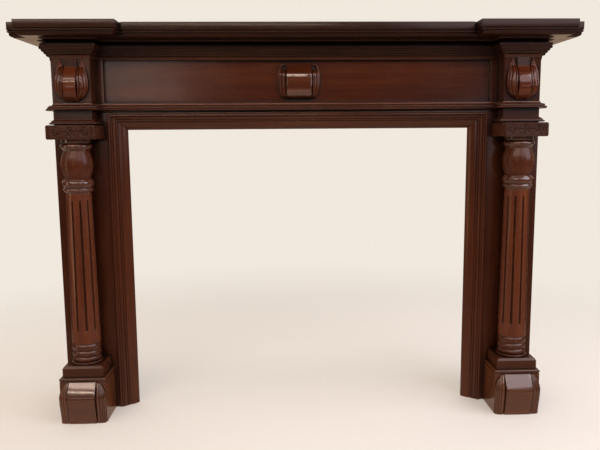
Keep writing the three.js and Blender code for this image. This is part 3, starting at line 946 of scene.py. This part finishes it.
def make_studio():
    """A pale round studio that only the camera sees. Its floor has a tiny hole in the middle."""
    radius, bend, tall, around, hole = 8.0, 2.0, 9.0, 96, 0.0002
    profile = [(r, 0.0) for r in (hole, 0.5, 1, 1.5, 2, 2.5, 3, 4, 5)]
    profile += rising_bend(radius, bend, 17)
    profile.append((radius, tall))
    points = [
        (r * math.cos(a), r * math.sin(a), z)
        for r, z in profile
        for a in np.linspace(0, 2 * math.pi, around, endpoint=False)
    ]
    faces = [
        (ring * around + i, ring * around + (i + 1) % around, (ring + 1) * around + (i + 1) % around,
         (ring + 1) * around + i)
        for ring in range(len(profile) - 1)
        for i in range(around)
    ]
    studio = stage_sheet("studio", points, faces, paper_material(STUDIO_GLOW))
    studio.visible_glossy = False
    studio.visible_diffuse = False
    studio.visible_shadow = False


def make_bounce():
    """A sheet of paper just below the floor and up behind the mantel, which only lends its light."""
    behind, bend, half_wide, front_edge, below, tall = 3.8, 1.2, 9.0, -0.75, 0.003, 7.0
    line = [(front_edge, 0.0), *rising_bend(behind, bend, 25), (behind, tall)]
    points = [(x, y, z - below) for x in (-half_wide, half_wide) for y, z in line]
    count = len(line)
    faces = [(i, i + 1, count + i + 1, count + i) for i in range(count - 1)]
    bounce = stage_sheet("bounce", points, faces, paper_material(BOUNCE_GLOW))
    bounce.visible_camera = False
    bounce.visible_glossy = False
    bounce.visible_shadow = False


def make_wall_behind():
    """Two warm cards behind the mantel, which only its polish catches, above all under the shelf."""
    near, far, foot, head, behind = 0.95, 2.3, 0.7, 1.15, 1.5
    material = bpy.data.materials.new("warm_wall")
    material.use_nodes = True
    shader = material.node_tree.nodes["Principled BSDF"]
    shader.inputs["Base Color"].default_value = (0, 0, 0, 1)
    shader.inputs["Emission Color"].default_value = (0.55, 0.37, 0.24, 1)
    shader.inputs["Emission Strength"].default_value = 1.0
    for word, side in (("left", -1), ("right", 1)):
        outline = [(near, foot), (far, foot), (far, head), (near, head)]
        corners = [(side * x, behind, z) for x, z in outline]
        mesh = bpy.data.meshes.new(f"wall_card_{word}")
        mesh.from_pydata(corners, [], [(0, 1, 2, 3)])
        mesh.materials.append(material)
        card = bpy.data.objects.new(f"wall_card_{word}", mesh)
        bpy.context.scene.collection.objects.link(card)
        card.visible_camera = False
        card.visible_diffuse = False
        card.visible_shadow = False


def softbox(name, place, target, width, height, power, colour):
    light = bpy.data.lights.new(name, "AREA")
    light.shape = "RECTANGLE"
    light.size, light.size_y = width, height
    light.energy = power
    light.color = colour
    box = bpy.data.objects.new(name, light)
    box.location = place
    box.rotation_mode = "QUATERNION"
    box.rotation_quaternion = (Vector(target) - Vector(place)).to_track_quat("-Z", "Y")
    bpy.context.scene.collection.objects.link(box)


def make_air():
    """A dim room whose upper part is paler. Only the polish catches its pale floor."""
    world = bpy.data.worlds.new("studio_air")
    world.use_nodes = True
    graph = Graph(world)
    direction = graph.add("ShaderNodeTexCoord").outputs["Generated"]
    split = graph.add("ShaderNodeSeparateXYZ", {"Vector": direction})
    level = graph.add("ShaderNodeMapRange", {"Value": split.outputs["Z"], "From Min": -1.0}).outputs["Result"]
    room = graph.ramp(
        level, (0.40, (0.05, 0.044, 0.04, 1)), (0.66, (0.20, 0.19, 0.19, 1)), (0.54, (0.035, 0.033, 0.032, 1))
    )
    floor = graph.ramp(level, (0.33, (0.35, 0.26, 0.20, 1)), (0.37, grey(0)))
    polish = graph.add("ShaderNodeLightPath").outputs["Is Glossy Ray"]
    seen = graph.mix(polish, room, floor, "ADD")
    background = graph.add("ShaderNodeBackground", {"Color": seen})
    graph.add("ShaderNodeOutputWorld", {"Surface": background.outputs[0]})
    bpy.context.scene.world = world
    bpy.context.scene.view_settings.view_transform = "Standard"


def make_lights():
    """Three warm strips and a low window on the left, a cool card and two windows on the right.

    One more light is for the backdrop.
    """
    middle = (0, 0, 0.7)
    softbox("high_strip", (-1.85, -3.4, 3.60), (-1.0, 0, 0.7), 4.7, 0.46, 46, (1.0, 0.78, 0.64))
    softbox("low_strip", (-1.85, -3.4, 2.70), (-1.0, 0, 0.7), 4.7, 0.17, 33, (1.0, 0.79, 0.62))
    softbox("cool_card", (2.0, -3.4, 3.10), middle, 2.3, 2.1, 37, (1.0, 0.87, 0.90))
    softbox("cool_window", (2.2, -0.9, 1.8), (0.2, 0, 0.7), 1.6, 1.8, 25, (0.92, 0.90, 1.0))
    softbox("window_left", (-1.75, -4.6, 1.30), (-0.4, 0, 1.0), 1.5, 0.7, 5.5, (1.0, 0.83, 0.74))
    softbox("window_right", (2.4, -4.6, 0.85), (0.6, 0, 0.9), 1.2, 0.6, 2.5, (0.98, 0.94, 1.0))
    softbox("warm_strip", (-2.3, -0.7, 0.9), (-0.4, 0, 0.7), 0.25, 1.8, 4, (1.0, 0.72, 0.42))
    softbox("backdrop_light", (0, -0.2, 5.4), (0, 1.6, 0.6), 7.0, 2.2, 54, (1.0, 0.98, 0.96))


# The camera stands in front, a little left of the middle, and looks slightly down and to the right.
CAMERA_PLACE = (-0.0555, -2.1097, 0.8931)
CAMERA_YAW = 0.03469
CAMERA_PITCH = 0.13749
CAMERA_ROLL = -0.00674
CAMERA_LENS_MM = 39.80
CAMERA_SENSOR_MM = 36
CAMERA_SHIFT_X = -0.0096


def make_camera():
    ahead = Vector((math.sin(CAMERA_YAW), math.cos(CAMERA_YAW), 0))
    right = Vector((math.cos(CAMERA_YAW), -math.sin(CAMERA_YAW), 0))
    up = Vector((0, 0, 1))
    look = ahead * math.cos(CAMERA_PITCH) - up * math.sin(CAMERA_PITCH)
    crown = up * math.cos(CAMERA_PITCH) + ahead * math.sin(CAMERA_PITCH)
    rolled_right = right * math.cos(CAMERA_ROLL) + crown * math.sin(CAMERA_ROLL)
    rolled_up = crown * math.cos(CAMERA_ROLL) - right * math.sin(CAMERA_ROLL)
    data = bpy.data.cameras.new("camera")
    data.sensor_width = CAMERA_SENSOR_MM
    data.sensor_fit = "HORIZONTAL"
    data.lens = CAMERA_LENS_MM
    data.shift_x = CAMERA_SHIFT_X
    camera = bpy.data.objects.new("camera", data)
    turn = Matrix((rolled_right, rolled_up, -look)).transposed().to_4x4()
    camera.matrix_world = Matrix.Translation(CAMERA_PLACE) @ turn
    bpy.context.scene.collection.objects.link(camera)
    bpy.context.scene.camera = camera


# Assembly

# Corners of a carried-over node nearer than this, in metres, become one
WELD_REACH = 0.00001


def finish_node(name, material, bevel):
    """Gives a carried-over node its material, and softens its edges."""
    shown = NODES[name]
    if not shown.data.materials:
        shown.data.materials.append(material)
    for slot in shown.material_slots:
        slot.material = material
    weld = shown.modifiers.new("weld", "WELD")
    weld.merge_threshold = WELD_REACH
    soften(shown, bevel)


make_camera()
make_studio()
make_bounce()
make_wall_behind()
make_air()
make_lights()

# Tints of the wood
RUDDY = (1.08, 0.92, 0.75)
BROWN = (0.97, 1.04, 0.85)
COLD = (0.92, 1.0, 1.05)
TURNED = (1.05, 0.97, 0.85)

make_shelf(mahogany("mahogany_shelf", "X", 1, 0.38, gloss=0.42, tint=COLD))
# The bed moulding's dark tone is partly the wood's own and partly painted shade under the shelf.
make_bed_moulding(mahogany("mahogany_bed_moulding", "X", 2, 0.5, gloss=0.5, smooth=0.6))
make_frieze_base_moulding(mahogany("mahogany_frieze_base", "X", 3, 0.85, recess_reach=FINE_REACH))
finish_node("frieze_board", mahogany("mahogany_frieze", "X", 4, 0.88, gloss=0.9, tint=RUDDY), bevel=0.8)
scroll_sides = mahogany(
    "mahogany_carved_sides", "Z", 7, 1.05, gloss=0.75, smooth=1.2, tint=RUDDY, recess_reach=FINE_REACH
)
scroll_tab_painted_shade = mahogany("mahogany_carved_tab_painted_shade", "Z", 12, 0.45, gloss=0.3)
centre_band = mahogany(
    "mahogany_centre_scroll", "X", 5, 1.05, gloss=2.6, smooth=3.0, tint=RUDDY, recess_reach=FINE_REACH
)
make_centre_scroll((centre_band, scroll_sides))
make_architrave_top(mahogany("mahogany_architrave_top", "X", 6, 0.9, gloss=0.7))
frieze_band = mahogany(
    "mahogany_frieze_scroll", "X", 8, 1.2, gloss=0.8, smooth=1.5, tint=RUDDY, recess_reach=FINE_REACH
)
plinth_band = mahogany(
    "mahogany_plinth_scroll", "X", 9, 0.98, gloss=1.5, smooth=1.7, tint=BROWN, recess_reach=FINE_REACH
)
plinth_sides = mahogany(
    "mahogany_plinth_sides", "Z", 11, 1.1, gloss=1.5, smooth=1.3, tint=BROWN, recess_reach=FINE_REACH
)

for index, (word, side) in enumerate((("left", -1), ("right", 1))):
    upright = mahogany(f"mahogany_upright_{word}", "Z", 10 + index, 0.8, gloss=0.6)
    dark = mahogany(f"mahogany_dark_{word}", "X", 50 + index, 0.6, gloss=0.48)
    cap = mahogany(f"mahogany_cap_{word}", "X", 70 + index, 0.7, gloss=0.7, tint=BROWN)
    shaft = mahogany(
        f"mahogany_shaft_{word}", "Z", 20 + index, 1.4, gloss=0.85, smooth=0.8, tint=TURNED,
        recess_reach=FLUTE_REACH,
    )
    # The rings, bulb and base are darker copies of the shaft's wood: painted shade.
    rings = mahogany(
        f"mahogany_rings_{word}", "Z", 20 + index, 1.0, gloss=1.5, smooth=1.5, recess_reach=FINE_REACH
    )
    bulb = mahogany(f"mahogany_bulb_{word}", "Z", 20 + index, 0.95, gloss=0.5, smooth=0.75, tint=TURNED)
    base = mahogany(f"mahogany_base_{word}", "Z", 20 + index, 0.95, gloss=0.75, recess_reach=FINE_REACH)
    make_column(word, side, (shaft, rings, bulb, base))
    make_capital(word, side, dark)
    make_neck_moulding(word, side, mahogany(f"mahogany_neck_{word}", "X", 30 + index, 0.7))
    for node in ("leg_board", "side_return"):
        finish_node(f"{node}_{word}", upright, bevel=0.8)
    finish_node(f"frieze_block_{word}", dark, bevel=0.9)
    finish_node(f"plinth_cap_{word}", cap, bevel=0.6)
    plinth = mahogany(f"mahogany_plinth_{word}", "X", 60 + index, 1.1, tint=BROWN, recess_reach=FINE_REACH)
    finish_node(f"plinth_block_{word}", plinth, bevel=0.8)
    make_architrave(word, side, mahogany(f"mahogany_architrave_{word}", "Z", 40 + index, 0.94, gloss=0.7))
    make_frieze_scroll(word, side, (frieze_band, scroll_sides, scroll_tab_painted_shade))
    make_plinth_scroll(word, side, (plinth_band, plinth_sides))
